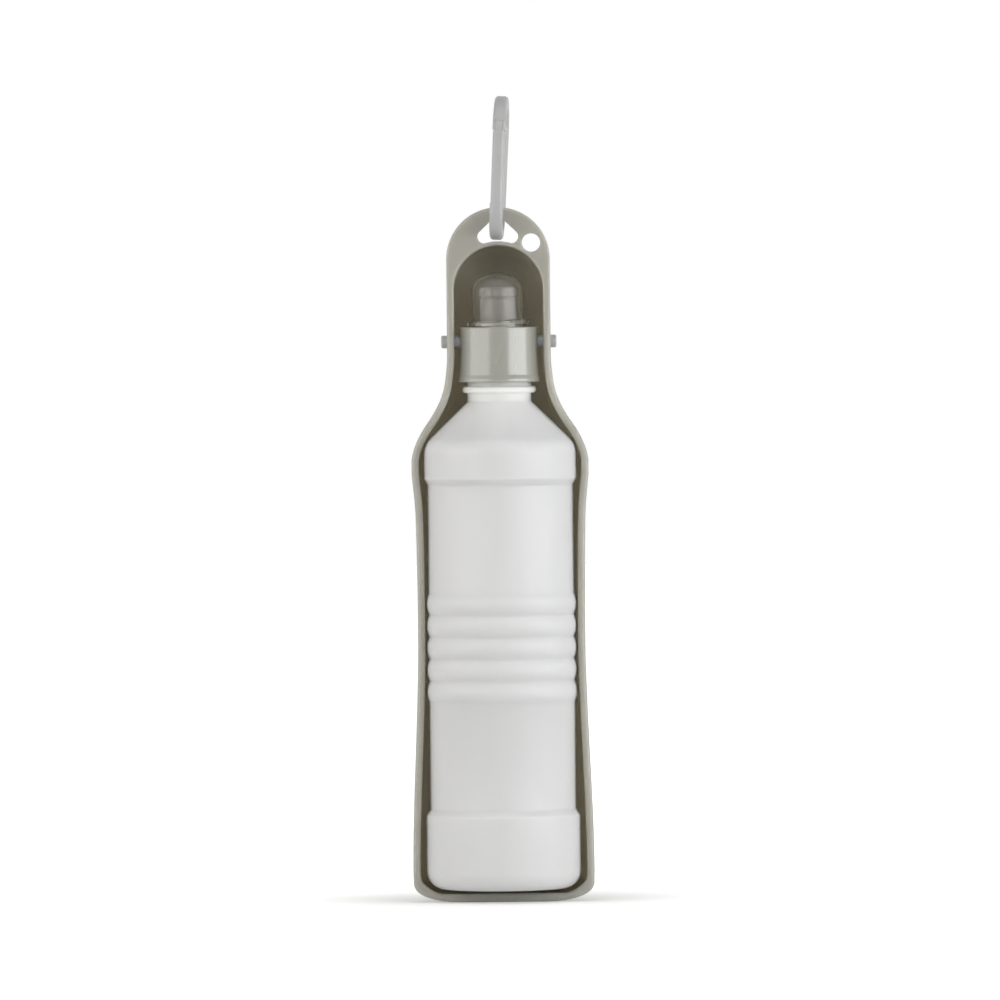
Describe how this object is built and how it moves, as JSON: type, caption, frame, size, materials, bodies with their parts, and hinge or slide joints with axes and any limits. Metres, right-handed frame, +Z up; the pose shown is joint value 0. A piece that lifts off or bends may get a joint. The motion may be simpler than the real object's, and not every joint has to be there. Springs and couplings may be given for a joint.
{
  "type": "dog travel water bottle",
  "caption": "Squeeze bottle with a pull-up spout, hinged in a folding drinking trough with a clip on its end tab.",
  "frame": {"origin": "on the plane that the trough's foot stands on, under the bottle's axis", "axes": "+Z up along the bottle's axis; the trough's open front faces -Y and the pivot pins lie along X"},
  "size_m": [0.0708, 0.0626, 0.3141],
  "materials": {
    "trough_plastic": "satin moulded polypropylene, warm grey",
    "bottle_plastic": "milky, slightly see-through squeeze plastic",
    "seal": "soft white foam",
    "spout_plastic": "satin moulded plastic",
    "cover_plastic": "clear, faintly smoky moulded plastic",
    "clip_plastic": "moulded nylon, light grey",
    "steel": "plain bright steel"
  },
  "bodies": {
    "tray": {"tray": "trough_plastic"},
    "cap": {"cap": "trough_plastic"},
    "cap_seal": {"cap_seal": "seal"},
    "bottle": {"bottle": "bottle_plastic"},
    "spout": {"spout": "spout_plastic"},
    "dust_cover": {"dust_cover": "cover_plastic"},
    "clip": {"clip_body": "clip_plastic", "gate_pin": "steel", "gate_spring": "steel"},
    "clip_gate": {"clip_gate": "clip_plastic"}
  },
  "joints": [
    {"name": "tray_fold", "type": "hinge", "parent": "tray", "child": "cap", "pos_m": [0, 0, 0.21841], "axis": [-1, 0, 0], "range_deg": [0, 120]},
    {"name": "bottle_turn", "type": "hinge", "parent": "cap", "child": "cap_seal", "pos_m": [0, 0, 0.22112], "axis": [0, 0, -1], "range_deg": [0, 165]},
    {"name": "bottle_drop", "type": "slide", "parent": "cap_seal", "child": "bottle", "axis": [0, 0, -1], "range_m": [0, 0.0015]},
    {"name": "spout_pull", "type": "slide", "parent": "cap", "child": "spout", "axis": [0, 0, 1], "range_m": [0, 0.0025]},
    {"name": "dust_cover_lift", "type": "slide", "parent": "cap", "child": "dust_cover", "axis": [0, 0, 1], "range_m": [0, 0.0035]},
    {"name": "clip_swing", "type": "hinge", "parent": "tray", "child": "clip", "pos_m": [0, -0.0059, 0.26902], "axis": [0.9974, -0.0523, -0.0489], "range_deg": [-80, 45]},
    {"name": "clip_gate", "type": "hinge", "parent": "clip", "child": "clip_gate", "pos_m": [0.00108, -0.01699, 0.30297], "axis": [0.9974, -0.0523, -0.0489], "range_deg": [0, 22], "stiffness_Nm_per_rad": 0.06, "springref_deg": -17.19, "deforming": ["gate_spring"]}
  ],
  "couplings": [
    {"joint": "bottle_drop", "follows": "bottle_turn", "m_per_rad": 0.0005093}
  ]
}
